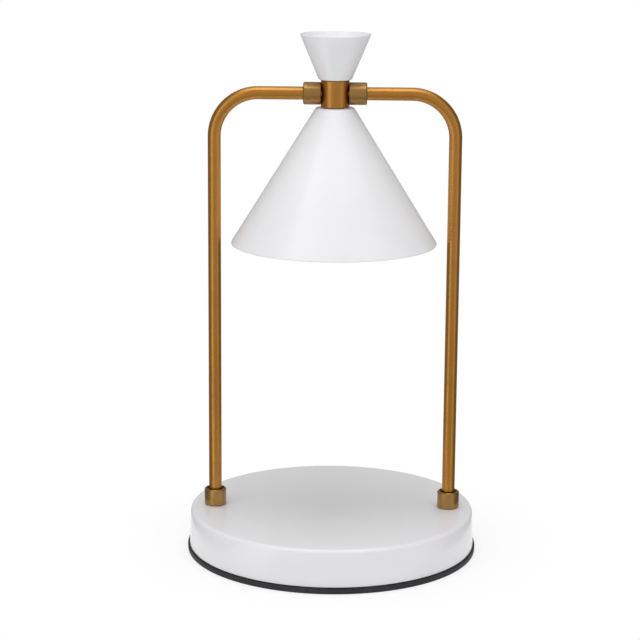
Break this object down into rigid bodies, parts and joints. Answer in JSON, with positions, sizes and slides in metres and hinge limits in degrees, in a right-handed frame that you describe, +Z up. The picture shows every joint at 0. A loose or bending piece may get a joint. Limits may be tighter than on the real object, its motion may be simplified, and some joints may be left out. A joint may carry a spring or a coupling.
{
  "type": "candle warmer lamp",
  "caption": "Candle warmer lamp: round weighted base, two bent tube arms and a tilting head with a cone shade, an open cup on top and a reflector bulb.",
  "frame": {"origin": "centre of the base pad's underside, on the table", "axes": "+Z up, front of the lamp towards -Y, the two arms apart along X, cord grommet towards +Y"},
  "size_m": [0.1826, 0.1826, 0.3257],
  "materials": {
    "white_paint": "satin white powder coat",
    "antique_brass": "brushed antique brass, lacquered",
    "black_rubber": "matt black",
    "cast_iron": "raw casting",
    "zinc_steel": "zinc plated",
    "cream_nylon": "moulded",
    "lead_silicone": "sleeved lead",
    "white_ceramic": "unglazed steatite",
    "bulb_glass": "clear glass",
    "bulb_mirror": "mirror-coated glass"
  },
  "bodies": {
    "stand": {"base_shell": "white_paint", "base_pad": "black_rubber", "bottom_plate": "zinc_steel", "base_weight": "cast_iron", "bottom_screw_1": "zinc_steel", "bottom_screw_2": "zinc_steel", "bottom_screw_3": "zinc_steel", "cord_grommet": "black_rubber", "terminal_block": "cream_nylon", "block_screw": "zinc_steel", "foot_ferrule_left": "antique_brass", "foot_ferrule_right": "antique_brass", "foot_nipple_left": "zinc_steel", "foot_nipple_right": "zinc_steel", "foot_washer_left": "zinc_steel", "foot_washer_right": "zinc_steel", "foot_nut_left": "zinc_steel", "foot_nut_right": "zinc_steel", "arm_left": "antique_brass", "arm_right": "antique_brass", "arm_lead": "lead_silicone", "knuckle_left": "antique_brass", "knuckle_right": "antique_brass", "tilt_washer_left": "zinc_steel", "tilt_washer_right": "zinc_steel"},
    "head": {"pivot_stub_left": "zinc_steel", "pivot_stub_right": "zinc_steel", "hub": "antique_brass", "head_rod": "antique_brass", "finial_cup": "white_paint", "cup_washer": "zinc_steel", "cup_nut": "antique_brass", "shade": "white_paint", "shade_washer": "zinc_steel", "shade_nut": "zinc_steel", "holder_cap": "zinc_steel", "holder_screw_front": "zinc_steel", "holder_screw_rear": "zinc_steel", "lampholder": "white_ceramic", "head_lead": "lead_silicone"},
    "bulb": {"bulb_cap": "white_ceramic", "bulb_pin_left": "zinc_steel", "bulb_pin_right": "zinc_steel", "bulb_reflector": "bulb_mirror", "bulb_lens": "bulb_glass", "bulb_capsule": "bulb_glass"}
  },
  "joints": [
    {"name": "head_tilt", "type": "hinge", "parent": "stand", "child": "head", "pos_m": [0, 0, 0.2894], "axis": [1, 0, 0], "range_deg": [-40, 40]},
    {"name": "bulb_twist", "type": "hinge", "parent": "head", "child": "bulb", "pos_m": [0, 0, 0.2488], "axis": [0, 0, -1], "range_deg": [0, 22]}
  ]
}
